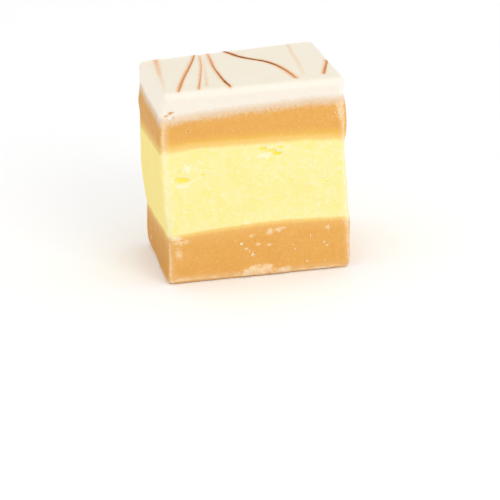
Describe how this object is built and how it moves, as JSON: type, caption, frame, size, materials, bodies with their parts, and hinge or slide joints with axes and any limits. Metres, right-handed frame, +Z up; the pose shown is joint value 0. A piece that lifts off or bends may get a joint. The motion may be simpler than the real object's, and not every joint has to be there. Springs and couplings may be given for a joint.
{
  "type": "fudge square",
  "caption": "Square of layered fudge: caramel, yellow and caramel layers under a thin white top with fine chocolate lines, knife-cut sides and worn edges.",
  "frame": {"origin": "middle of the flat base, under the middle of the whole box", "axes": "+Z up through the layers, the front face looks along -Y, +X to the right of the front face"},
  "size_m": [0.0312, 0.025, 0.0327],
  "materials": {
    "caramel": "waxy, finely grained cut face",
    "yellow_fudge": "matte, crumbly cut face",
    "white_fudge": "smooth satin top with grainy cut sides and chocolate lines"
  },
  "bodies": {
    "root": {"caramel_base": "caramel", "yellow_middle": "yellow_fudge", "caramel_upper": "caramel", "white_top": "white_fudge"}
  },
  "joints": []
}
